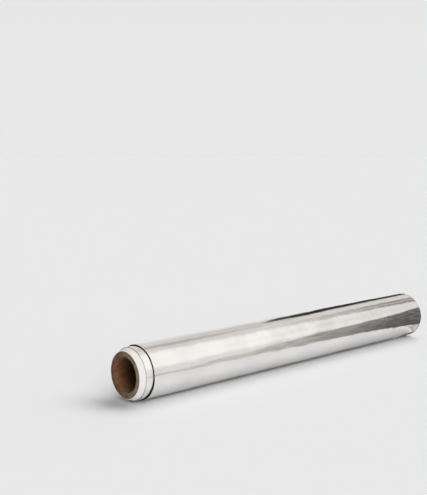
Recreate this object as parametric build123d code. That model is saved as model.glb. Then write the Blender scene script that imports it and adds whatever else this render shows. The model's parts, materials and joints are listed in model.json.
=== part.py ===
from build123d import *
import math
import os

# Aluminium foil roll lying on its side: a card core with the foil wound on it.
# Millimetres. X runs along the roll, and the end that shows its core is at -X. Z is up.
# The origin lies under the middle of the roll, on the surface that carries it.

# Card core, cut to the width of the sheet
CORE_BORE_DIAMETER = 36.0
CORE_WALL = 5.45
CORE_EDGE_ROUND = 0.6

# Foil sheet: each turn is as long as the sheet is wide
FOIL_WIDTH = 450.0

# Thickness of the winding, in groups of turns from the core outwards
INNER_BUILD = 2.75
MIDDLE_BUILD = 0.55
OUTER_BUILD = 0.6

# How far each group of turns fans out along the core, which leaves steps at both ends
INNER_SLIP = 6.1
MIDDLE_SLIP = 8.9
INNER_STEPS = 10
MIDDLE_STEPS = 2

# The outer turns stand off the turns below them, for a short way in from their edge
LOOSE_GAP = 0.8
LOOSE_DEPTH = 6.0

# Free edge of the sheet, low on the side of the roll at +Y
TAIL_STEP = 0.25
TAIL_ANGLE = -25.0

# The soft winding is pressed flat where it lies
FLAT_WIDTH = 7.0

# Radii from the core outwards
bore_radius = CORE_BORE_DIAMETER / 2
core_radius = bore_radius + CORE_WALL
inner_radius = core_radius + INNER_BUILD
middle_radius = inner_radius + MIDDLE_BUILD
loose_radius = middle_radius + LOOSE_GAP
roll_radius = loose_radius + OUTER_BUILD

# Near edges of the groups of turns along the roll, from the end of the core that shows
inner_edge = 0.0
middle_edge = inner_edge + INNER_SLIP
outer_edge = middle_edge + MIDDLE_SLIP
roll_length = outer_edge + FOIL_WIDTH

# The roll is drawn about its axis, from that end, and then laid down
axis_height = math.sqrt(roll_radius**2 - (FLAT_WIDTH / 2) ** 2)
laid_down = Plane(origin=(-roll_length / 2, 0, axis_height), x_dir=(0, 1, 0), z_dir=(1, 0, 0))


def card_core():
    """A plain tube with both ends of its bore rounded over."""
    tube = extrude(Circle(core_radius) - Circle(bore_radius), FOIL_WIDTH)
    mouths = tube.edges().filter_by(GeomType.CIRCLE).group_by(SortBy.RADIUS)[0]
    return fillet(mouths, CORE_EDGE_ROUND)


def turns(outline, hole_radius, near_edge):
    """A group of turns: a ring of the sheet's full width that starts at its own near edge."""
    return Pos(0, 0, near_edge) * extrude(outline - Circle(hole_radius), FOIL_WIDTH)


def fanned_turns(first_radius, build, first_edge, slip, steps):
    """Groups of turns of equal thickness, each slid as far past the one below it."""
    groups = []
    for step in range(steps):
        hole_radius = first_radius + build * step / steps
        outside = Circle(first_radius + build * (step + 1) / steps)
        groups.append(turns(outside, hole_radius, first_edge + slip * step / steps))
    return groups


def last_turn_outline():
    """Two half rounds that grow by the tail's step, closed by that step and flat underneath."""
    half_turn = 180
    under = CenterArc((0, 0), roll_radius, half_turn, half_turn)
    over = CenterArc((TAIL_STEP / 2, 0), roll_radius + TAIL_STEP / 2, 0, half_turn)
    tail = Line((roll_radius, 0), (roll_radius + TAIL_STEP, 0))
    outline = Rot(0, 0, TAIL_ANGLE) * make_face([under, tail, over])
    surface = Rectangle(2 * roll_radius, roll_radius, align=(Align.CENTER, Align.MAX))
    return outline - Pos(0, -axis_height) * surface


def foil_winding():
    """All the turns as one solid, with the outer ones loose at their near edge."""
    inner = fanned_turns(core_radius, INNER_BUILD, inner_edge, INNER_SLIP, INNER_STEPS)
    middle = fanned_turns(inner_radius, MIDDLE_BUILD, middle_edge, MIDDLE_SLIP, MIDDLE_STEPS)
    outer = turns(last_turn_outline(), middle_radius, outer_edge)
    loose = Pos(0, 0, outer_edge) * extrude(Circle(loose_radius) - Circle(middle_radius), LOOSE_DEPTH)
    return outer + inner + middle - loose


os.makedirs("parts", exist_ok=True)
export_step(laid_down * card_core(), "parts/cardboard_core.step")
export_step(laid_down * foil_winding(), "parts/foil_winding.step")
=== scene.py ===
"""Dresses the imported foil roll: bright foil, fanned turns, a card core, a pale floor, soft light, a camera.

Metres, in the roll's own frame. X runs along the roll, with the end that shows the core at -X, and Z is up.
The origin lies on the floor under the middle of the roll. Angles round the roll go from +Y towards +Z.
"""
from __future__ import annotations

import json
import logging
import math
from dataclasses import dataclass
from enum import Enum

import bpy
import numpy as np
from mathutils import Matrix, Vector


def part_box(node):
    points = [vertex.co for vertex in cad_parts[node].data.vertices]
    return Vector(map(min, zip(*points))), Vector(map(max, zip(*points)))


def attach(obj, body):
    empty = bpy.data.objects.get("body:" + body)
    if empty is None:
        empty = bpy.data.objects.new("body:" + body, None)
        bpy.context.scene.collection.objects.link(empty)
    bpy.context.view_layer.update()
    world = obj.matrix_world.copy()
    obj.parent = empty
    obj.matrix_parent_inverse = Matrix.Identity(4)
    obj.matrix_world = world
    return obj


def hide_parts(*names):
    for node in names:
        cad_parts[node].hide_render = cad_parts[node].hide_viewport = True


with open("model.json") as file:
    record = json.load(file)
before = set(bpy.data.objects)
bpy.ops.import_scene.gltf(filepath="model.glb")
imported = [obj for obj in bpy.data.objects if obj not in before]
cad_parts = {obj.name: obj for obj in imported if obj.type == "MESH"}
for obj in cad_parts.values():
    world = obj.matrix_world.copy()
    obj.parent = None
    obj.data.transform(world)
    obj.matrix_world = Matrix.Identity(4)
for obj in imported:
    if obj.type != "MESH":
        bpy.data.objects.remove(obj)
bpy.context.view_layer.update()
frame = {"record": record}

MM = 0.001
FULL_TURN = 2 * math.pi
SAME_RADIUS = 1e-7
BODY = "root"

Array = np.ndarray
Range = tuple[float, float]
Triple = tuple[float, float, float]
Colour = tuple[float, float, float, float]
Socket = bpy.types.NodeSocket

BLACK: Colour = (0.0, 0.0, 0.0, 1.0)

log = logging.getLogger("foil_roll")


class Node(Enum):
    """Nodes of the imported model."""

    CORE = "cardboard_core"
    WINDING = "foil_winding"


class Slot(Enum):
    """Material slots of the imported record."""

    CARD = "core_card"
    FOIL = "foil"


class Layer(Enum):
    """Names of the maps and attributes that the finishes read."""

    SHEET = "sheet"
    CUT = "cut"
    SHADE = "shade"
    SEAM = "seam"
    BORE_SHADE = "depth"
    PALENESS = "paleness"


class Ease(Enum):
    """How a number in a finish goes from one level to another."""

    SMOOTH = "SMOOTHSTEP"
    EVEN = "LINEAR"


class Sum(Enum):
    """What a finish works out from numbers."""

    ADD = "ADD"
    MULTIPLY = "MULTIPLY"
    MULTIPLY_ADD = "MULTIPLY_ADD"
    GREATEST = "MAXIMUM"


@dataclass(frozen=True)
class RollSizes:
    """Sizes and places of the roll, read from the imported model."""

    near_end: float
    far_end: float
    core_length: float
    axis_height: float
    bore_radius: float
    core_radius: float
    roll_radius: float

    @classmethod
    def read(cls, record: dict) -> RollSizes:
        """Takes the roll's sizes from its nodes' boxes and its bore mount.

        The roll's radius is read on -Y, because the sheet's free edge makes the last turn larger on +Y.

        Args:
            record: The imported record.

        Returns:
            The sizes, in metres.
        """
        bore = next(mount for mount in record["mounts"] if mount["kind"] == "bore")
        core_low, core_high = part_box(Node.CORE.value)
        wound_low, wound_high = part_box(Node.WINDING.value)
        return cls(
            near_end=core_low.x,
            far_end=wound_high.x,
            core_length=core_high.x - core_low.x,
            axis_height=bore["pos_m"][2],
            bore_radius=bore["dims"]["r_mm"] * MM,
            core_radius=(core_high.y - core_low.y) / 2,
            roll_radius=-wound_low.y,
        )


def placed(name: str, data: bpy.types.ID) -> bpy.types.Object:
    """Makes an object at the origin and links it to the scene.

    Args:
        name: The object's name.
        data: Its mesh, lamp or camera.

    Returns:
        The object.
    """
    item = bpy.data.objects.new(name, data)
    bpy.context.scene.collection.objects.link(item)
    return item


def cells(grid: Array) -> Array:
    """The four corners of each cell of a grid, first along its row and then on to the next row."""
    return np.stack([grid[:-1, :-1], grid[:-1, 1:], grid[1:, 1:], grid[1:, :-1]], axis=2)


@dataclass
class Surface:
    """A closed surface on a grid, with rows along a profile and columns round the roll.

    Attributes:
        points: Rows by columns by 3.
        along: Each row's place along the profile, in metres, for the map.
        around: Each column's place round the roll, in metres, for the map.
        split: Rows whose first and last columns are two sides of a step. On other rows they are one point.
        masks: Numbers that the finishes read, on the grid or as one column that holds for whole rows.
    """

    points: Array
    along: Array
    around: Array
    split: Array
    masks: dict[Layer, Array]

    def indices(self) -> Array:
        """Numbers the points, with the last column joined to the first where no step splits them.

        Returns:
            Point numbers by row and column.
        """
        rows, columns = self.points.shape[:2]
        index = np.arange(rows * columns).reshape(rows, columns)
        index[:, -1] = np.where(self.split, index[:, -1], index[:, 0])
        return index

    def to_object(self, name: str) -> bpy.types.Object:
        """Makes the mesh: quads between neighbouring rows and columns, and a strip that closes the step.

        The profile is a loop, so the last row joins the first. A quad runs first round the roll and then
        along the profile, which points its face outwards.

        Args:
            name: The piece's name.

        Returns:
            The linked object.
        """
        index = self.indices()
        profile = np.append(self.along, self.along[-1] + (self.along[-1] - self.along[-2]))
        maps = np.stack(np.meshgrid(profile, self.around, indexing="ij"), axis=-1)
        quads = cells(np.vstack([index, index[:1]])).reshape(-1, 4)
        quad_maps = cells(maps).reshape(-1, 2)
        strip, strip_maps = self.step_strip(index, maps)
        faces = [quads, *strip]
        corners = np.concatenate([part.ravel() for part in faces])
        used = np.unique(corners)
        renumber = np.zeros(index.size, dtype=np.int64)
        renumber[used] = np.arange(used.size)
        sizes = np.concatenate([np.full(len(part), part.shape[1]) for part in faces])
        mesh = bpy.data.meshes.new(name)
        mesh.vertices.add(used.size)
        mesh.vertices.foreach_set("co", self.points.reshape(-1, 3)[used].astype(np.float32).ravel())
        mesh.loops.add(corners.size)
        mesh.loops.foreach_set("vertex_index", renumber[corners].astype(np.int32))
        mesh.polygons.add(sizes.size)
        mesh.polygons.foreach_set("loop_start", (np.cumsum(sizes) - sizes).astype(np.int32))
        mesh.polygons.foreach_set("use_smooth", np.ones(sizes.size, dtype=bool))
        sheet = mesh.uv_layers.new(name=Layer.SHEET.value)
        sheet.data.foreach_set("uv", np.concatenate([quad_maps, *strip_maps]).astype(np.float32).ravel())
        for layer, values in self.masks.items():
            mask = mesh.attributes.new(layer.value, "FLOAT", "POINT")
            full = np.broadcast_to(values, index.shape).reshape(-1)
            mask.data.foreach_set("value", full[used].astype(np.float32))
        mesh.update(calc_edges=True)
        mesh.validate()
        return placed(name, mesh)

    def step_strip(self, index: Array, maps: Array) -> tuple[list[Array], list[Array]]:
        """Faces between the two sides of the step: quads along it and a triangle at each of its ends.

        Args:
            index: Point numbers by row and column.
            maps: Map places by row and column.

        Returns:
            The quads and triangles, and their map places in the same order.
        """
        rows = np.flatnonzero(self.split)
        if rows.size == 0:
            return [], []
        first, last = index[rows, 0], index[rows, -1]
        quads = np.stack([last[:-1], first[:-1], first[1:], last[1:]], axis=-1)
        before, after = index[rows[0] - 1, 0], index[rows[-1] + 1, 0]
        triangles = np.array([[before, first[0], last[0]], [first[-1], after, last[-1]]])
        quad_maps = np.repeat(maps[rows[:-1], 0], 4, axis=0)
        triangle_maps = np.repeat(maps[rows[[0, -1]], 0], 3, axis=0)
        return [quads, triangles], [quad_maps, triangle_maps]


def turned(along: Array, radius: Array, angle: Array, axis_height: float) -> Array:
    """Points about the axis: x is along, y radius times cosine, z axis height plus radius times sine."""
    return np.stack([along, radius * np.cos(angle), axis_height + radius * np.sin(angle)], axis=-1)


def path_length(along: Array, radius: Array) -> Array:
    """Distance of each profile point from the first, measured along the profile."""
    return np.concatenate([[0], np.cumsum(np.hypot(np.diff(along), np.diff(radius)))])


def from_middle(angle: Array, middle: float) -> Array:
    """Angle from a middle, between minus and plus half a turn."""
    return np.angle(np.exp(1j * (angle - middle)))


@dataclass(frozen=True)
class Ripple:
    """A wave round the roll: share of the height, number of crests, phase and drift from turn to turn."""

    share: float
    crests: int
    phase: float = 0.0
    drift: float = 0.0


def rippled(waves: tuple[Ripple, ...], angle: Array, drift: Array | float = 0.0) -> Array:
    """Sum of waves: each is its share times the cosine of crests times angle, plus phase, plus drift."""
    return sum(wave.share * np.cos(wave.crests * angle + wave.phase + wave.drift * drift) for wave in waves)


def lifted(waves: tuple[Ripple, ...], angle: Array, drift: Array | float = 0.0) -> Array:
    """One plus the sum of waves over the sum of their shares, which is never below 0."""
    return 1 + rippled(waves, angle, drift) / sum(wave.share for wave in waves)


@dataclass(frozen=True)
class Stairs:
    """Turns that have slid apart: each rises at its own edge and runs on to the next one's edge.

    Attributes:
        uneven: Least and greatest share of a turn, against an even one.
        bevel_share: Greatest share of a tread or a riser that its bevel takes.
        lean: How far a riser leans back, as a share of its bevel.
    """

    turns: int
    seed: int
    uneven: Range = (0.55, 1.45)
    bevel_share: float = 0.2
    bevel_run: float = 0.03 * MM
    bevel_rise: float = 0.02 * MM
    lean: float = 0.4

    def profile(self, start: Range, end: Range) -> Array:
        """Works out the turns' profile between two places.

        Turn k rises from share k to share k + 1 of the way out, and its tread runs from share k to share
        k + 1 of the way along. A riser and a tread have two points each, set in from the corner by a bevel.

        Args:
            start: Place along the roll and radius at the foot of the first turn.
            end: Place along the roll and radius at the end of the last tread.

        Returns:
            Four points for each turn, as rows of place along the roll and radius.
        """
        random = np.random.default_rng(self.seed)
        weights = random.uniform(*self.uneven, (2, self.turns))
        shares = np.concatenate([np.zeros((2, 1)), np.cumsum(weights, axis=1)], axis=1)
        shares /= shares[:, -1:]
        along = start[0] + (end[0] - start[0]) * shares[0]
        radius = start[1] + (end[1] - start[1]) * shares[1]
        run = np.minimum(self.bevel_share * np.diff(along), self.bevel_run)
        rise = np.minimum(self.bevel_share * np.diff(radius), self.bevel_rise)
        places = [along[:-1], along[:-1] + self.lean * run, along[:-1] + run, along[1:] - run]
        radii = [radius[:-1] + rise, radius[1:] - rise, radius[1:], radius[1:]]
        return np.stack([np.stack(values, axis=1).ravel() for values in (places, radii)], axis=1)


@dataclass(frozen=True)
class Relief:
    """Unevenness of the wound sheet: slack waves, bands, dents, buckled edges and a crinkled patch.

    Attributes:
        wave_leans: Least and greatest angle between a slack wave's course and the roll.
        edge_drop: How far the far edge drops off, over the drop's reach.
        rim_share: Share of the unevenness that is left at the near rim.
        crinkle_setback: Distance of the crinkled patch from the far edge.
    """

    seed: int = 11
    waves: int = 44
    wave_lengths: Range = (11 * MM, 60 * MM)
    wave_leans: Range = (0.25 * math.pi, 0.75 * math.pi)
    wave_slope: float = 0.0026
    bands: int = 14
    band_lengths: Range = (6 * MM, 60 * MM)
    band_height: float = 0.004 * MM
    dents: int = 13
    dent_reaches: Range = (4 * MM, 10 * MM)
    dent_depth: float = 0.06 * MM
    buckles: tuple[Ripple, ...] = (Ripple(1.0, 7, 1.0), Ripple(0.7, 11, 4.0), Ripple(0.5, 17))
    edge_height: float = 0.02 * MM
    edge_reach: float = 7 * MM
    edge_drop: float = 0.1 * MM
    drop_reach: float = 5 * MM
    rim_share: float = 0.3
    rim_reach: float = 12 * MM
    crinkles: int = 36
    crinkle_lengths: Range = (5 * MM, 10 * MM)
    crinkle_slope: float = 0.008
    crinkle_setback: float = 65 * MM
    crinkle_angle: float = math.pi
    crinkle_reaches: Range = (60 * MM, 16 * MM)

    def heights(self, along: Array, angle: Array, radius: float, edges: Range) -> Array:
        """Height of the sheet, at each place along and round the roll, below its highest place.

        The slack waves are cosines whose number round the roll is whole, so they close up, and whose heights
        grow with their length, which keeps their slopes alike. The bands are cosines along the roll alone. A
        dent is a round bell below the mean. Near the edges, short waves round the roll die away with the
        distance, and the far edge drops off along a parabola. All of it is smaller at the near edge, whose
        rim stays even.

        Args:
            along: X of each point, rows by columns.
            angle: Angle of each point, rows by columns.
            radius: Radius of the roll.
            edges: X of the sheet's two edges.

        Returns:
            Heights in metres, rows by columns.
        """
        random = np.random.default_rng(self.seed)
        total = np.zeros_like(along)
        shortest, longest = (math.log(length) for length in self.wave_lengths)
        lengths = np.exp(random.uniform(shortest, longest, self.waves))
        leans = random.uniform(*self.wave_leans, self.waves)
        phases = random.uniform(0, FULL_TURN, self.waves)
        for length, lean, phase in zip(lengths, leans, phases):
            number = FULL_TURN / length
            round_count = round(number * math.sin(lean) * radius)
            height = self.wave_slope * length / FULL_TURN
            total += height * np.cos(number * math.cos(lean) * along + round_count * angle + phase)
        lengths = random.uniform(*self.band_lengths, self.bands)
        phases = random.uniform(0, FULL_TURN, self.bands)
        for length, phase in zip(lengths, phases):
            total += self.band_height * np.cos(FULL_TURN / length * along + phase)
        places = random.uniform(*edges, self.dents)
        turns = random.uniform(0, FULL_TURN, self.dents)
        reaches = random.uniform(*self.dent_reaches, self.dents)
        for place, turn, reach in zip(places, turns, reaches):
            arc = radius * from_middle(angle, turn)
            total -= self.dent_depth * np.exp(-((along - place) ** 2 + arc**2) / reach**2)
        buckled = rippled(self.buckles, angle)
        for edge in edges:
            total += self.edge_height * buckled * np.exp(-np.abs(along - edge) / self.edge_reach)
        total -= self.edge_drop * np.clip(1 - np.abs(along - edges[1]) / self.drop_reach, 0, 1) ** 2
        from_patch = along - (edges[1] - self.crinkle_setback)
        round_patch = radius * from_middle(angle, self.crinkle_angle)
        total += self.crinkled_patch(from_patch, round_patch, random)
        inside = np.clip((along - edges[0]) / self.rim_reach, 0, 1)
        kept = self.rim_share + (1 - self.rim_share) * inside**2 * (3 - 2 * inside)
        return (total - total.max()) * kept

    def crinkled_patch(self, place: Array, arc: Array, random: np.random.Generator) -> Array:
        """Height of a patch that a hand has crinkled: short cosines in all directions under a bell.

        Args:
            place: Distance from the patch's middle along the roll, rows by columns.
            arc: Distance from it round the roll, rows by columns.
            random: The generator that the relief draws from.

        Returns:
            Heights in metres, rows by columns.
        """
        bell = np.exp(-((place / self.crinkle_reaches[0]) ** 2) - (arc / self.crinkle_reaches[1]) ** 2)
        total = np.zeros_like(place)
        lengths = random.uniform(*self.crinkle_lengths, self.crinkles)
        leans = random.uniform(0, math.pi, self.crinkles)
        phases = random.uniform(0, FULL_TURN, self.crinkles)
        for length, lean, phase in zip(lengths, leans, phases):
            number = FULL_TURN / length
            height = self.crinkle_slope / number
            total += height * np.cos(number * (math.cos(lean) * place + math.sin(lean) * arc) + phase)
        return total * bell


class RollPiece:
    """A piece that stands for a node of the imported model. Each kind has a name, node, slot and surface."""

    name: str
    node: Node
    slot: Slot

    def surface(self) -> Surface:
        """The piece's shape."""
        raise NotImplementedError

    def dress(self, material: bpy.types.Material) -> None:
        """Makes the piece from its surface, finishes it and lets it stand for its node.

        Args:
            material: Its finish.
        """
        piece = self.surface().to_object(self.name)
        piece.data.materials.append(material)
        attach(piece, BODY)
        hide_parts(self.node.value)
        log.info("%s: %d points, %d faces", self.name, len(piece.data.vertices), len(piece.data.polygons))


@dataclass
class OuterTurns(RollPiece):
    """The last turns of the sheet: bright, a little uneven, loose at the near edge and with a free tail.

    Attributes:
        slip: How far the turns have slid along the core.
        pocket_round: Share of the gap and of the flare by which the pocket's corners are eased.
        flare_halfway: Share of the lip's flare that is reached half way out of the pocket.
        hidden_run: Length of the inside that follows the far lip straight on.
    """

    name = "foil_outer_turns"
    node = Node.WINDING
    slot = Slot.FOIL

    sizes: RollSizes
    relief: Relief = Relief()
    slip: float = 15.0 * MM
    thickness: float = 1.4 * MM
    loose_gap: float = 0.8 * MM
    loose_depth: float = 6.0 * MM
    pocket_round: float = 0.2
    tail_step: float = 0.25 * MM
    tail_angle: float = math.radians(-25)
    tail_curl: float = 0.26 * MM
    curl_reach: float = math.radians(5)
    waver_lengths: Range = (43 * MM, 97 * MM)
    lip: Stairs = Stairs(turns=3, seed=3)
    lip_slip: float = 0.35 * MM
    lip_flare: float = 0.3 * MM
    flare_halfway: float = 0.15
    mouth_setback: float = 0.2 * MM
    far_lip: Stairs = Stairs(turns=8, seed=4)
    hidden_run: float = 4 * MM
    wander: float = 0.162 * MM
    wander_reach: float = 3 * MM
    wander_waves: tuple[Ripple, ...] = (Ripple(0.6, 2, 0.4), Ripple(0.5, 5, 2.0), Ripple(0.25, 13))
    body_rows: int = 356
    columns: int = 236

    @property
    def near_edge(self) -> float:
        """X of the sheet's near edge."""
        return self.sizes.near_end + self.slip

    def profile(self) -> tuple[Array, Array, Array]:
        """The turns' loop: up the loose lip, along the outside, down the far lip and back inside.

        Returns:
            Place along the roll, radius, and how much of the sheet's unevenness each point takes.
        """
        outside = self.sizes.roll_radius
        inside = outside - self.thickness
        under_lip = inside + self.loose_gap
        mouth = under_lip + self.lip_flare
        near, far = self.near_edge, self.sizes.far_end
        deep = near + self.loose_depth
        lip_end, far_lip_start = near + 2 * self.lip_slip, far - 2 * self.lip_slip
        pocket = np.array([
            [deep, inside],
            [deep, under_lip - self.pocket_round * self.loose_gap],
            [deep, under_lip],
            [near + self.loose_depth / 2, under_lip + self.flare_halfway * self.lip_flare],
            [lip_end, mouth - self.pocket_round * self.lip_flare],
            [near + self.mouth_setback, mouth],
        ])
        lip = self.lip.profile((near, mouth), (near + self.lip_slip, outside))
        body_along = np.linspace(lip_end, far_lip_start, self.body_rows)
        body = np.stack([body_along, np.full_like(body_along, outside)], axis=1)
        far_lip = self.far_lip.profile((far_lip_start, inside), (far, outside))[::-1]
        hidden = np.array([[far_lip_start - self.hidden_run, inside], [far - self.slip, inside]])
        points = np.concatenate([pocket, lip, body, far_lip, hidden])
        uneven = np.clip((points[:, 1] - mouth) / (outside - mouth), 0, 1)
        return points[:, 0], points[:, 1], uneven

    def outside_radius(self, angle: Array) -> Array:
        """Radius of the last turn, which grows by the tail's step over the half turn that ends at the tail.

        There it is a circle half a step larger, whose centre lies half a step towards the tail. Elsewhere it
        is the roll's own circle.

        Args:
            angle: Angle from the tail.

        Returns:
            Radius at each angle.
        """
        half = self.tail_step / 2
        radius = self.sizes.roll_radius
        larger = half * np.cos(angle) + np.sqrt((radius + half) ** 2 - (half * np.sin(angle)) ** 2)
        return np.where(angle <= math.pi, larger, radius)

    def surface(self) -> Surface:
        """Turns the profile about the axis, adds the unevenness below the true radius, and presses the flat.

        The tail's curl dies away round the roll. Along the roll it is a half, plus half the product of two
        cosines.

        Returns:
            The surface, split along the tail's step.
        """
        along, radius, uneven = self.profile()
        from_tail = np.linspace(0, FULL_TURN, self.columns + 1)
        grid_along, grid_from_tail = np.meshgrid(along, from_tail, indexing="ij")
        angle = grid_from_tail + self.tail_angle
        edges = (self.near_edge, self.sizes.far_end)
        sunk = self.relief.heights(grid_along, angle, self.sizes.roll_radius, edges)
        growth = self.outside_radius(grid_from_tail) - self.sizes.roll_radius
        quick, slow = (np.cos(FULL_TURN / length * grid_along) for length in self.waver_lengths)
        waver = 0.5 + 0.5 * quick * slow
        curl = self.tail_curl * waver * np.exp(-grid_from_tail / self.curl_reach)
        grown = radius[:, None] + uneven[:, None] * (growth + curl + sunk)
        points = turned(grid_along, grown, angle, self.sizes.axis_height)
        points[..., 2] = np.maximum(points[..., 2], 0)
        points[..., 0] += self.edge_wander(grid_along, angle)
        on_lip = (uneven > 0) & (uneven < 1)
        # painted shade inside the loose turns' pocket
        in_pocket = (uneven == 0) & (along < self.near_edge + self.loose_depth + MM)
        masks = {Layer.CUT: on_lip[:, None], Layer.SHADE: in_pocket[:, None]}
        around = from_tail * self.sizes.roll_radius
        return Surface(points, path_length(along, radius), around, uneven > 0, masks)

    def edge_wander(self, along: Array, angle: Array) -> Array:
        """Shift along the roll of the two edges, always inwards: waves that die away from the edge.

        Args:
            along: X of each point, rows by columns.
            angle: Angle of each point, rows by columns.

        Returns:
            Shifts along X, rows by columns.
        """
        inwards = self.wander * lifted(self.wander_waves, angle)
        near = np.exp(-np.abs(along - self.near_edge) / self.wander_reach)
        far = np.exp(-np.abs(along - self.sizes.far_end) / self.wander_reach)
        return inwards * (near - far)


@dataclass
class InnerTurns(RollPiece):
    """The turns below: fanned out in fine steps past the core's end, and set back as much at the far end.

    Attributes:
        band_dullness: How dull the band is, where 1 is the cone's cut edges.
        painted_shade_depth: How far under the outer turns the band has painted shade.
        painted_shade_share: How dark the painted shade is just before them, low in front.
        low_angle: Middle of the place low in front, where the band sags.
        wander_step: Growth in radius over which the edges' waves drift by one radian.
    """

    name = "foil_inner_turns"
    node = Node.WINDING
    slot = Slot.FOIL

    sizes: RollSizes
    cone: Stairs = Stairs(turns=20, seed=5)
    cone_build: float = 2.75 * MM
    cone_slip: float = 6.1 * MM
    crack: float = 0.42 * MM
    crack_depth: float = 2.0 * MM
    band: Stairs = Stairs(turns=9, seed=6)
    band_build: float = 0.55 * MM
    band_slip: float = 8.7 * MM
    band_dullness: float = 0.12
    tuck: float = 7 * MM
    far_tuck: float = 10 * MM
    painted_shade_depth: float = 0.4 * MM
    painted_shade_share: float = 0.8
    low_angle: float = math.radians(228)
    low_reach: float = 0.8
    sag: float = 0.5 * MM
    sag_reach: float = 3.0 * MM
    slack: float = 0.02 * MM
    wander: float = 0.07 * MM
    wander_step: float = 0.3 * MM
    wander_start: float = 0.1 * MM
    wander_rise: float = 0.5 * MM
    wander_waves: tuple[Ripple, ...] = (
        Ripple(1.0, 1, drift=1.0), Ripple(0.6, 3, drift=-2.3), Ripple(0.3, 7, drift=1.7))
    columns: int = 224

    @property
    def brow_radius(self) -> float:
        """Radius at the top of the cone."""
        return self.sizes.core_radius + self.cone_build

    def near_profile(self) -> Array:
        """From the core's end up the cone, into the crack above it, and along the band to the outer turns.

        Returns:
            Rows of place along the roll and radius.
        """
        foot = (self.sizes.near_end, self.sizes.core_radius + self.slack)
        brow = (foot[0] + self.cone_slip, self.brow_radius)
        edge = (brow[0] + self.band_slip, brow[1] + self.band_build - self.slack)
        deep = brow[0] + self.crack_depth
        roof = brow[1] + self.crack
        crack = np.array([[deep, brow[1]], [deep, roof], [brow[0], roof]])
        band = self.band.profile((brow[0], roof), edge)
        return np.concatenate([self.cone.profile(foot, brow), crack, band])

    def surface(self) -> Surface:
        """Turns the near profile, and the same one a sheet's width further along, about the axis.

        Low in front, the band sinks by a bell of the angle times a slope along the roll, which rises up to
        the edge of the outer turns and falls behind it.

        Returns:
            The surface, with no step in it.
        """
        near = self.near_profile()
        edge, top = near[-1]
        width = self.sizes.core_length
        tucked = np.array([[edge + self.painted_shade_depth, top], [edge + self.tuck, top],
                           [edge + width - self.far_tuck, top]])
        along, radius = np.concatenate([near, tucked, near[::-1] + np.array([width, 0])]).T
        angles = np.linspace(0, FULL_TURN, self.columns + 1)
        grid_along, angle = np.meshgrid(along, angles, indexing="ij")
        low_front = np.exp(-((from_middle(angles, self.low_angle) / self.low_reach) ** 2))
        sagging = np.interp(along, [edge - self.sag_reach, edge, edge + self.tuck], [0, 1, 0])
        sunk = radius[:, None] - self.sag * sagging[:, None] * low_front
        points = turned(grid_along, sunk, angle, self.sizes.axis_height)
        points[..., 0] += self.edge_wander(radius[:, None], angle)
        brow = self.brow_radius
        in_crack = (radius > brow - SAME_RADIUS) & (radius < brow + self.crack + SAME_RADIUS)
        # painted shade: in the crack, under the outer turns' edge, and along the band's last row low in front
        in_painted_shade = in_crack & (along < edge) | np.isin(along, tucked[:2, 0])
        at_edge = np.arange(along.size) == len(near) - 1
        shade = np.where(at_edge[:, None], self.painted_shade_share * low_front, in_painted_shade[:, None])
        dull = np.where(radius < brow + SAME_RADIUS, 1.0, self.band_dullness)
        masks = {Layer.CUT: dull[:, None], Layer.SHADE: shade}
        around = angles * self.sizes.core_radius
        return Surface(points, path_length(along, radius), around, np.zeros(along.size, bool), masks)

    def edge_wander(self, radius: Array, angle: Array) -> Array:
        """Shift of each turn along the roll: waves round the roll whose phases drift from turn to turn.

        Args:
            radius: Radius of each row, as a column.
            angle: Angle of each point, rows by columns.

        Returns:
            Shifts along X, rows by columns, that start a little above the core.
        """
        build = radius - self.sizes.core_radius
        share = np.clip((build - self.wander_start) / self.wander_rise, 0, 1)
        return self.wander * share * lifted(self.wander_waves, angle, build / self.wander_step)


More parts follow.
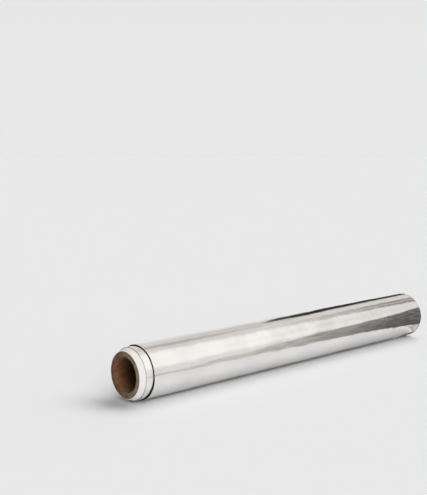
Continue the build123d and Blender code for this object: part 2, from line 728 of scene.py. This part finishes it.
@dataclass
class CardCore(RollPiece):
    """A spiral-wound card tube: plies that show at its cut ends, and the helical seam of the inner ply.

    Attributes:
        ply_places: Places of a ply's points, as shares of the ply.
        ply_depths: Their depths, as shares of the groove.
        seam_pull: How far the columns draw together at the seam, where 1 is all the way.
        fibre_step: Growth in radius over which the fibres' waves drift by one radian.
    """

    name = "card_core"
    node = Node.CORE
    slot = Slot.CARD

    sizes: RollSizes
    edge_round: float = 0.6 * MM
    mouth_rows: int = 6
    corner: float = 0.25 * MM
    plies: int = 9
    ply_places: tuple[float, ...] = (0.12, 0.5, 0.8, 0.97)
    ply_depths: tuple[float, ...] = (0.25, 0.0, 0.15, 1.0)
    ply_groove: float = 0.09 * MM
    seam_pitch: float = 89 * MM
    seam_width: float = 0.9 * MM
    seam_depth: float = 0.2 * MM
    seam_pull: float = 0.9
    fibre_height: float = 0.04 * MM
    fibre_step: float = 0.21 * MM
    fibre_waves: tuple[Ripple, ...] = (
        Ripple(1.0, 31, drift=1.0), Ripple(1.0, 17, drift=-1.9), Ripple(1.0, 53, drift=3.1),
        Ripple(1.8, 3, drift=0.2))
    # reach of the painted shade into the bore from each mouth
    bore_shade_fade: float = 30 * MM
    bore_rows: int = 280
    outside_rows: int = 58
    columns: int = 144

    def end_face(self) -> Array:
        """From the bore over its rounded mouth and the cut plies to the outside.

        The mouth is a quarter circle. Each ply has a flat and then a groove where it meets the next.

        Returns:
            Rows of depth into the core and radius.
        """
        turn = np.linspace(0, math.pi / 2, self.mouth_rows)
        mouth = np.stack([self.edge_round * (1 - np.sin(turn)),
                          self.sizes.bore_radius + self.edge_round * (1 - np.cos(turn))], axis=1)
        inner = self.sizes.bore_radius + self.edge_round
        ply = (self.sizes.core_radius - inner) / self.plies
        starts = inner + ply * np.arange(self.plies)[:, None]
        radius = (starts + ply * np.array(self.ply_places)).ravel()
        depth = np.tile(self.ply_groove * np.array(self.ply_depths), self.plies)
        corner = np.array([[self.corner, self.sizes.core_radius]])
        return np.concatenate([mouth, np.stack([depth, radius], axis=1), corner])

    def surface(self) -> Surface:
        """The two ends, the outside and the bore as one loop, whose columns follow the seam in the bore.

        The bore's columns make a full turn over the seam's pitch. Outside, they turn only by the part of a
        turn by which the two ends differ. The seam is a flat-topped bell across it. The torn fibres on the
        cut ends are waves round the roll that differ from ply to ply.

        Returns:
            The surface, with no step in it.
        """
        end = self.end_face()
        length = self.sizes.core_length
        far = length - end[::-1, 0]
        outside = np.linspace(end[-1, 0], far[0], self.outside_rows + 2)[1:-1]
        bore = np.linspace(far[-1], end[0, 0], self.bore_rows + 2)[1:-1]
        along = np.concatenate([end[:, 0], outside, far, bore])
        radius = np.concatenate([end[:, 1], np.full(outside.size, self.sizes.core_radius), end[::-1, 1],
                                 np.full(bore.size, self.sizes.bore_radius)])
        from_seam = self.column_angles()
        grid_along, offset = np.meshgrid(along, from_seam, indexing="ij")
        twist = FULL_TURN * along / self.seam_pitch
        far_row = len(end) + outside.size
        twist[len(end):far_row] = np.mod(twist[far_row], FULL_TURN) * outside / length
        angle = offset + twist[:, None]
        arc = self.sizes.bore_radius * from_middle(offset, 0.0)
        in_bore = (radius < self.sizes.bore_radius + self.edge_round)[:, None]
        seam = np.exp(-((arc / (self.seam_width / 2)) ** 4)) * in_bore
        from_mouth = np.minimum(along, length - along)
        cut = from_mouth < self.edge_round / 2
        inwards = np.where(along < length / 2, 1.0, -1.0)
        fibres = lifted(self.fibre_waves, angle, radius[:, None] / self.fibre_step)
        rough = self.fibre_height * fibres * cut[:, None]
        points = turned(self.sizes.near_end + grid_along + inwards[:, None] * rough,
                        radius[:, None] + self.seam_depth * seam, angle, self.sizes.axis_height)
        # how far into the bore, which sets the painted shade there
        depth = np.clip(from_mouth / self.bore_shade_fade, 0, 1)
        masks = {Layer.CUT: cut[:, None], Layer.SEAM: seam, Layer.BORE_SHADE: depth[:, None]}
        around = from_seam * self.sizes.bore_radius
        return Surface(points, path_length(along, radius), around, np.zeros(along.size, bool), masks)

    def column_angles(self) -> Array:
        """Angles from the seam, evenly spread and then drawn towards it on both sides by a sine."""
        even = np.linspace(0, 1, self.columns + 1)
        return FULL_TURN * (even - self.seam_pull * np.sin(FULL_TURN * even) / FULL_TURN)


class NodeGraph:
    """A short way to write a node tree: makes nodes, sets their sockets and joins them."""

    def __init__(self, tree: bpy.types.NodeTree) -> None:
        """Empties the tree."""
        self.tree = tree
        tree.nodes.clear()

    def add(self, kind: str, settings: dict | None = None, *values: object,
            **inputs: object) -> bpy.types.Node:
        """Makes a node.

        Args:
            kind: The node's type.
            settings: Properties of the node.
            values: Values of its first sockets, in order. A socket of another node is joined.
            inputs: Values of sockets by name, with spaces written as underscores.

        Returns:
            The node.
        """
        node = self.tree.nodes.new(kind)
        for name, value in (settings or {}).items():
            setattr(node, name, value)
        named = {name.replace("_", " "): value for name, value in inputs.items()}
        for key, value in [*enumerate(values), *named.items()]:
            if isinstance(value, Socket):
                self.tree.links.new(value, node.inputs[key])
            else:
                node.inputs[key].default_value = value
        return node

    def math(self, operation: Sum, *values: object) -> Socket:
        """A number worked out from others."""
        return self.add("ShaderNodeMath", {"operation": operation.value}, *values).outputs[0]

    def mix(self, share: object, first: object, second: object) -> Socket:
        """A colour between two colours, by the share of the second."""
        node = self.add("ShaderNodeMix", {"data_type": "RGBA"}, Factor=share, A=first, B=second)
        return node.outputs["Result"]

    def step(self, value: Socket, low: float, high: float, to_low: float = 0.0, to_high: float = 1.0,
             ease: Ease = Ease.SMOOTH) -> Socket:
        """A number that goes from one level to another as the value goes from low to high."""
        sockets = {"Value": value, "From_Min": low, "From_Max": high, "To_Min": to_low, "To_Max": to_high}
        return self.add("ShaderNodeMapRange", {"interpolation_type": ease.value}, **sockets).outputs[0]

    def attribute(self, layer: Layer) -> Socket:
        """A number kept on the mesh."""
        return self.add("ShaderNodeAttribute", {"attribute_name": layer.value}).outputs["Fac"]


def blank_material(name: str) -> tuple[bpy.types.Material, NodeGraph]:
    """Makes a material with an empty node tree.

    Args:
        name: The material's name.

    Returns:
        The material and the graph of its tree.
    """
    material = bpy.data.materials.new(name)
    material.use_nodes = True
    return material, NodeGraph(material.node_tree)


@dataclass(frozen=True)
class Grain:
    """A noise, by its grains in a metre on each axis and its finer layers, and the bump that it makes."""

    scale: Triple
    detail: float
    strength: float = 0.0
    depth: float = 0.0

    def noise(self, graph: NodeGraph, place: Socket) -> Socket:
        """A smooth noise between 0 and 1."""
        place = graph.add("ShaderNodeMapping", Vector=place, Scale=self.scale).outputs["Vector"]
        return graph.add("ShaderNodeTexNoise", Vector=place, Scale=1.0, Detail=self.detail).outputs["Fac"]

    def bump(self, graph: NodeGraph, height: Socket, **below: Socket) -> Socket:
        """The normal that the grain's height gives, over the one below it where there is one."""
        sizes = {"Strength": self.strength, "Distance": self.depth}
        return graph.add("ShaderNodeBump", Height=height, **sizes, **below).outputs["Normal"]


@dataclass(frozen=True)
class FoilFinish:
    """Bright rolled aluminium: fine lines round the roll, cloudy gloss, duller cut edges and painted shade in
    gaps.
    """

    bright: Colour = (0.885, 0.873, 0.860, 1.0)
    cloudy: Colour = (0.830, 0.818, 0.805, 1.0)
    edge: Colour = (0.975, 0.955, 0.920, 1.0)
    # shade: colour of the painted shade in the pocket, the crack and the band under the outer turns
    shade: Colour = (0.10, 0.10, 0.10, 1.0)
    lines: Grain = Grain((3200, 9, 1), 3.0, strength=0.5, depth=0.002 * MM)
    rings: Grain = Grain((430, 12, 1), 2.0, strength=0.35, depth=0.024 * MM)
    crinkles: Grain = Grain((210, 170, 1), 2.0, strength=0.25, depth=0.025 * MM)
    clouds: Grain = Grain((26, 30, 1), 3.0)
    cloud_tones: Range = (0.35, 0.7)
    cloud_dulls: Range = (0.35, 0.75)
    roughness: float = 0.135
    line_roughness: float = 0.07
    cloud_roughness: float = 0.05
    edge_roughness: float = 0.45
    edge_metal: float = 0.12
    anisotropy: float = 0.45

    def build(self) -> bpy.types.Material:
        """Makes the material, which reads the sheet's own map: u along the roll and v round it, in metres.

        Returns:
            The material.
        """
        material, graph = blank_material("rolled_foil")
        sheet = graph.add("ShaderNodeUVMap", {"uv_map": Layer.SHEET.value}).outputs["UV"]
        cut = graph.attribute(Layer.CUT)
        lines, clouds, rings, crinkles = (
            grain.noise(graph, sheet) for grain in (self.lines, self.clouds, self.rings, self.crinkles))
        colour = graph.mix(graph.step(clouds, *self.cloud_tones), self.bright, self.cloudy)
        colour = graph.mix(cut, colour, self.edge)
        # painted shade where the shade mask is set, in the gaps between turns
        colour = graph.mix(graph.attribute(Layer.SHADE), colour, self.shade)
        metal = graph.step(cut, 0.0, 1.0, 1.0, self.edge_metal, Ease.EVEN)
        least = self.roughness - self.line_roughness / 2
        rough = graph.math(Sum.MULTIPLY_ADD, lines, self.line_roughness, least)
        rough = graph.math(Sum.ADD, rough, graph.step(clouds, *self.cloud_dulls, 0.0, self.cloud_roughness))
        rough = graph.math(Sum.ADD, rough, graph.math(Sum.MULTIPLY, cut, self.edge_roughness))
        normal = self.lines.bump(graph, lines)
        normal = self.rings.bump(graph, rings, Normal=normal)
        normal = self.crinkles.bump(graph, crinkles, Normal=normal)
        tangent = graph.add("ShaderNodeTangent", {"direction_type": "UV_MAP", "uv_map": Layer.SHEET.value})
        shader = graph.add("ShaderNodeBsdfPrincipled", Base_Color=colour, Metallic=metal, Roughness=rough,
                           Anisotropic=self.anisotropy, Normal=normal, Tangent=tangent.outputs["Tangent"])
        graph.add("ShaderNodeOutputMaterial", Surface=shader.outputs["BSDF"])
        return material


@dataclass(frozen=True)
class CardFinish:
    """Plain brown board: mottled, fibrous, greyer at the cut ends, darker in the seam, with painted shade
    deep in the bore.

    Attributes:
        mottle_share: Share of the mottle in the board's tone. The rest is its fibres.
        painted_shade_from: Share of the bore's fade at which the painted shade is at its darkest.
        side_limits: Y between which the cut ends go from grey to a darker brown, towards +Y.
    """

    light: Colour = (0.360, 0.172, 0.073, 1.0)
    dark: Colour = (0.235, 0.109, 0.045, 1.0)
    # deep: colour of the painted shade deep in the bore
    deep: Colour = (0.075, 0.029, 0.009, 1.0)
    cut_light: Colour = (0.328, 0.257, 0.160, 1.0)
    cut_dark: Colour = (0.161, 0.130, 0.080, 1.0)
    brown_light: Colour = (0.172, 0.103, 0.063, 1.0)
    brown_dark: Colour = (0.087, 0.054, 0.032, 1.0)
    seam: Colour = (0.085, 0.048, 0.024, 1.0)
    mottle: Grain = Grain((240, 240, 240), 5.0)
    fibres: Grain = Grain((700, 1900, 1900), 3.0, strength=0.7, depth=0.12 * MM)
    mottle_share: float = 0.7
    tone_limits: Range = (0.38, 0.62)
    painted_shade_from: float = 0.75
    side_limits: Range = (-20 * MM, 20 * MM)
    roughness: float = 0.88

    def build(self) -> bpy.types.Material:
        """Makes the material on Object coordinates, with the core's attributes for its cut ends, seam and the
        bore's painted shade.

        Returns:
            The material.
        """
        material, graph = blank_material("brown_board")
        place = graph.add("ShaderNodeTexCoord").outputs["Object"]
        fibres = self.fibres.noise(graph, place)
        mottle = graph.math(Sum.MULTIPLY, self.mottle.noise(graph, place), self.mottle_share)
        blend = graph.math(Sum.MULTIPLY_ADD, fibres, 1 - self.mottle_share, mottle)
        tone = graph.step(blend, *self.tone_limits)
        # painted shade: the bore darkens with its depth
        inwards = graph.step(graph.attribute(Layer.BORE_SHADE), 0.0, self.painted_shade_from)
        plain = graph.mix(inwards, graph.mix(tone, self.dark, self.light), self.deep)
        across = graph.add("ShaderNodeSeparateXYZ", Vector=place).outputs["Y"]
        # the cut ends turn darker and browner towards +Y
        side_share = graph.step(across, *self.side_limits)
        sawn = graph.mix(tone, graph.mix(side_share, self.cut_dark, self.brown_dark),
                         graph.mix(side_share, self.cut_light, self.brown_light))
        colour = graph.mix(graph.attribute(Layer.CUT), plain, sawn)
        colour = graph.mix(graph.attribute(Layer.SEAM), colour, self.seam)
        shader = graph.add("ShaderNodeBsdfPrincipled", Base_Color=colour, Roughness=self.roughness,
                           Normal=self.fibres.bump(graph, fibres))
        graph.add("ShaderNodeOutputMaterial", Surface=shader.outputs["BSDF"])
        return material


@dataclass(frozen=True)
class SkyPatch:
    """A soft round patch of the studio's light, by heading from -Y towards +X and height, in degrees.

    It has its full colour up to the inner angle from its middle and has died away at the outer one.
    """

    heading: float
    height: float
    inner: float
    outer: float
    colour: Triple

    @property
    def direction(self) -> Triple:
        """Works out the way to the patch: x and y by the heading's sine and cosine, z by the height's sine.

        Returns:
            A unit vector.
        """
        heading, height = math.radians(self.heading), math.radians(self.height)
        level = math.cos(height)
        return (math.sin(heading) * level, -math.cos(heading) * level, math.sin(height))


@dataclass(frozen=True)
class StudioSky:
    """Soft light from all round: an even horizon, a bright front, a dim left and dark lines on the right.

    Attributes:
        lighting_level: How strongly it lights, where 1 is how strongly it shows.
        horizon_top: Heights between which the horizon gives way to the sky, in degrees.
        patches: The patches, each painted over those before it.
    """

    lighting_level: float = 0.57
    horizon: Triple = (0.807, 0.807, 0.807)
    upper: Triple = (0.745, 0.722, 0.700)
    horizon_top: Range = (7.0, 22.0)
    patches: tuple[SkyPatch, ...] = (
        SkyPatch(-110, 40, 45, 85, (0.40, 0.40, 0.40)),
        SkyPatch(0, 90, 18, 38, (0.80, 0.79, 0.775)),
        SkyPatch(38, 28, 10, 24, (1.06, 1.04, 1.01)),
        SkyPatch(58, 50, 10, 24, (1.05, 1.025, 0.99)),
        SkyPatch(72, 20, 8, 19, (0.76, 0.745, 0.73)),
        SkyPatch(121, 45.5, 3, 9.5, (0.49, 0.46, 0.43)),
        SkyPatch(129, 27, 1, 8, (0.60, 0.58, 0.55)),
        SkyPatch(91.5, 33.5, 7, 10.5, (0.50, 0.48, 0.47)),
        SkyPatch(86.5, 35, 1, 4.5, (0.12, 0.115, 0.115)),
        SkyPatch(100.5, 34.5, 1, 4.5, (0.12, 0.115, 0.115)),
        SkyPatch(-18, 28, 14, 32, (1.06, 1.05, 1.035)),
    )

    def build(self) -> None:
        """Paints the patches over the plain upper sky, and the even horizon over them."""
        world = bpy.data.worlds.new("studio")
        bpy.context.scene.world = world
        world.use_nodes = True
        graph = NodeGraph(world.node_tree)
        way = graph.add("ShaderNodeTexCoord").outputs["Generated"]
        colour: Colour | Socket = (*self.upper, 1.0)
        for patch in self.patches:
            towards = graph.add("ShaderNodeVectorMath", {"operation": "DOT_PRODUCT"}, way, patch.direction)
            limits = (math.cos(math.radians(angle)) for angle in (patch.outer, patch.inner))
            inside = graph.step(towards.outputs["Value"], *limits)
            colour = graph.mix(inside, colour, (*patch.colour, 1.0))
        height = graph.add("ShaderNodeSeparateXYZ", Vector=way).outputs["Z"]
        above = graph.step(height, *(math.sin(math.radians(angle)) for angle in self.horizon_top))
        colour = graph.mix(above, (*self.horizon, 1.0), colour)
        rays = graph.add("ShaderNodeLightPath").outputs
        mirrored = graph.math(Sum.GREATEST, rays["Is Glossy Ray"], rays["Is Transmission Ray"])
        seen = graph.math(Sum.GREATEST, rays["Is Camera Ray"], mirrored)
        strength = graph.step(seen, 0.0, 1.0, self.lighting_level, 1.0, Ease.EVEN)
        background = graph.add("ShaderNodeBackground", Color=colour, Strength=strength)
        graph.add("ShaderNodeOutputWorld", Surface=background.outputs["Background"])


@dataclass(frozen=True)
class SoftLamp:
    """A wide soft lamp, by heading from -Y towards +X and height, that leaves no glare on the foil."""

    name: str
    heading: float
    height: float
    strength: float
    softness: float

    def build(self) -> None:
        """Makes the lamp, pointed from its heading and height at the roll."""
        data = bpy.data.lights.new(self.name, "SUN")
        data.energy = self.strength
        data.angle = math.radians(self.softness)
        lamp = placed(self.name, data)
        lamp.rotation_euler = (math.radians(90 - self.height), 0.0, math.radians(self.heading))
        lamp.visible_glossy = False


LAMPS = (
    SoftLamp("key_lamp", heading=52.0, height=44.0, strength=0.95, softness=36.0),
    SoftLamp("overhead_lamp", heading=100.0, height=58.0, strength=1.15, softness=40.0),
    SoftLamp("fill_lamp", heading=-20.0, height=30.0, strength=0.90, softness=40.0),
)


@dataclass(frozen=True)
class Floor:
    """A wide pale floor."""

    half_width: float = 60.0
    colour: Colour = (0.764, 0.768, 0.775, 1.0)

    def build(self) -> None:
        """Makes the floor that the roll rests on."""
        half = self.half_width
        corners = [(-half, -half, 0), (half, -half, 0), (half, half, 0), (-half, half, 0)]
        mesh = bpy.data.meshes.new("floor")
        mesh.from_pydata(corners, [], [(0, 1, 2, 3)])
        material, graph = blank_material("pale_floor")
        shader = graph.add("ShaderNodeBsdfDiffuse", Color=self.colour)
        graph.add("ShaderNodeOutputMaterial", Surface=shader.outputs["BSDF"])
        mesh.materials.append(material)
        floor = placed("floor", mesh)


@dataclass(frozen=True)
class Flag:
    """A studio card that shows in the foil, and only there, as a dark streak. Some lie on the floor as
    painted shadow.

    Attributes:
        name: The card's name.
        low: Places of its lower edge, one after another along the card, in millimetres.
        high: Places of its upper edge at the same stations.
        levels: How pale the card is at each station of its lower edge.
        top_levels: The same for its upper edge. Where there are none, they are those of the lower edge.
        streak_levels: By how many times the paleness changes, at its least and at its most.
    """

    name: str
    low: tuple[Triple, ...]
    high: tuple[Triple, ...]
    levels: tuple[float, ...]
    top_levels: tuple[float, ...] = ()
    tint: Colour = (1.0, 0.98, 0.93, 1.0)
    streaks: Grain = Grain((80, 80, 240), 4.0)
    streak_limits: Range = (0.3, 0.7)
    streak_levels: Range = (0.55, 1.5)
    rows: int = 48

    def build(self) -> None:
        """Makes the card as a strip that runs straight from station to station."""
        stations = np.linspace(0, 1, len(self.levels))
        places = np.linspace(0, 1, self.rows)
        edges = [np.stack([np.interp(places, stations, axis) for axis in np.array(edge).T], axis=1)
                 for edge in (self.low, self.high)]
        stated = (self.levels, self.top_levels or self.levels)
        levels = [np.interp(places, stations, edge) for edge in stated]
        quads = cells(np.arange(2 * self.rows).reshape(2, self.rows)).reshape(-1, 4)
        mesh = bpy.data.meshes.new(self.name)
        mesh.from_pydata((np.concatenate(edges) * MM).tolist(), [], quads.tolist())
        paleness = mesh.attributes.new(Layer.PALENESS.value, "FLOAT", "POINT")
        paleness.data.foreach_set("value", np.concatenate(levels).astype(np.float32))
        mesh.materials.append(self.finish())
        flag = placed(self.name, mesh)
        flag.visible_camera = False
        flag.visible_diffuse = False
        flag.visible_shadow = False

    def finish(self) -> bpy.types.Material:
        """Makes the card's finish: a glow of its paleness times the streaks.

        Returns:
            The material.
        """
        material, graph = blank_material(self.name)
        place = graph.add("ShaderNodeTexCoord").outputs["Object"]
        streaks = graph.step(self.streaks.noise(graph, place), *self.streak_limits, *self.streak_levels)
        uneven = graph.math(Sum.MULTIPLY, graph.attribute(Layer.PALENESS), streaks)
        shader = graph.add("ShaderNodeEmission", Color=graph.mix(uneven, BLACK, self.tint), Strength=1.0)
        graph.add("ShaderNodeOutputMaterial", Surface=shader.outputs["Emission"])
        return material


FLAGS = (
    Flag(
        "front_flag",
        low=((270, -32, 4), (205, -54.5, -1), (160, -70, 0), (67, -84, 0), (-25, -112, 0), (-172, -136, 0)),
        high=((270, -32, 51), (205, -54.5, 52), (160, -70, 53), (67, -84, 52), (-25, -112, 34),
              (-172, -136, 13)),
        levels=(0.07, 0.08, 0.19, 0.41, 0.58, 0.66),
        top_levels=(0.19, 0.20, 0.29, 0.45, 0.58, 0.66),
    ),
    Flag(
        "back_flag",
        low=((100, 120, 120), (165, 120, 85), (248, 120, 45), (420, 120, 0)),
        high=((140, 120, 190), (238, 120, 205), (308, 120, 150), (428, 120, 128)),
        levels=(0.03, 0.03, 0.03, 0.03),
    ),
    # painted shade: a card on the floor in front of the far end, darker near the roll, seen only in the foil
    Flag(
        "painted_floor_shade_card",
        low=((234, -60, 0.3), (234, -34, 0.3), (234, -20, 0.3), (234, -15.5, 0.3)),
        high=((310, -60, 0.3), (300, -34, 0.3), (290, -20, 0.3), (290, -15.5, 0.3)),
        levels=(0.75, 0.52, 0.44, 0.40),
    ),
    # painted shadow: a dark card on the floor at the far end's contact, seen only in the foil
    Flag(
        "painted_contact_shadow_card",
        low=((200, -15.5, 0.3), (218, -15.5, 0.3), (236, -15.5, 0.3), (330, -15.5, 0.3)),
        high=((200, 6, 0.3), (218, 6, 0.3), (236, 30, 0.3), (330, 30, 0.3)),
        levels=(0.35, 0.18, 0.04, 0.04),
    ),
)


@dataclass(frozen=True)
class Viewpoint:
    """Where the photograph was taken from: place, heading from +Y towards +X, dip and lens."""

    place: Triple = (-705.04 * MM, -647.75 * MM, 243.17 * MM)
    heading: float = math.radians(42.325)
    dip: float = math.radians(6.404)
    lens: float = 60.626
    sensor: float = 36.0
    nearest: float = 0.02
    furthest: float = 200.0

    def build(self) -> None:
        """Makes the camera and gives it to the scene."""
        data = bpy.data.cameras.new("camera")
        data.lens = self.lens
        data.sensor_width = self.sensor
        data.clip_start = self.nearest
        data.clip_end = self.furthest
        camera = placed("camera", data)
        camera.location = self.place
        camera.rotation_euler = (math.pi / 2 - self.dip, 0.0, -self.heading)
        bpy.context.scene.camera = camera


def main() -> None:
    """Builds the stage, the foil and the core, in that order."""
    logging.basicConfig(level=logging.INFO, format="%(name)s %(message)s")
    bpy.context.scene.view_settings.view_transform = "Standard"
    sizes = RollSizes.read(frame["record"])
    for part in (Viewpoint(), StudioSky(), *LAMPS, Floor(), *FLAGS):
        part.build()
    foil = FoilFinish().build()
    OuterTurns(sizes).dress(foil)
    InnerTurns(sizes).dress(foil)
    CardCore(sizes).dress(CardFinish().build())


if __name__ == "__main__":
    main()
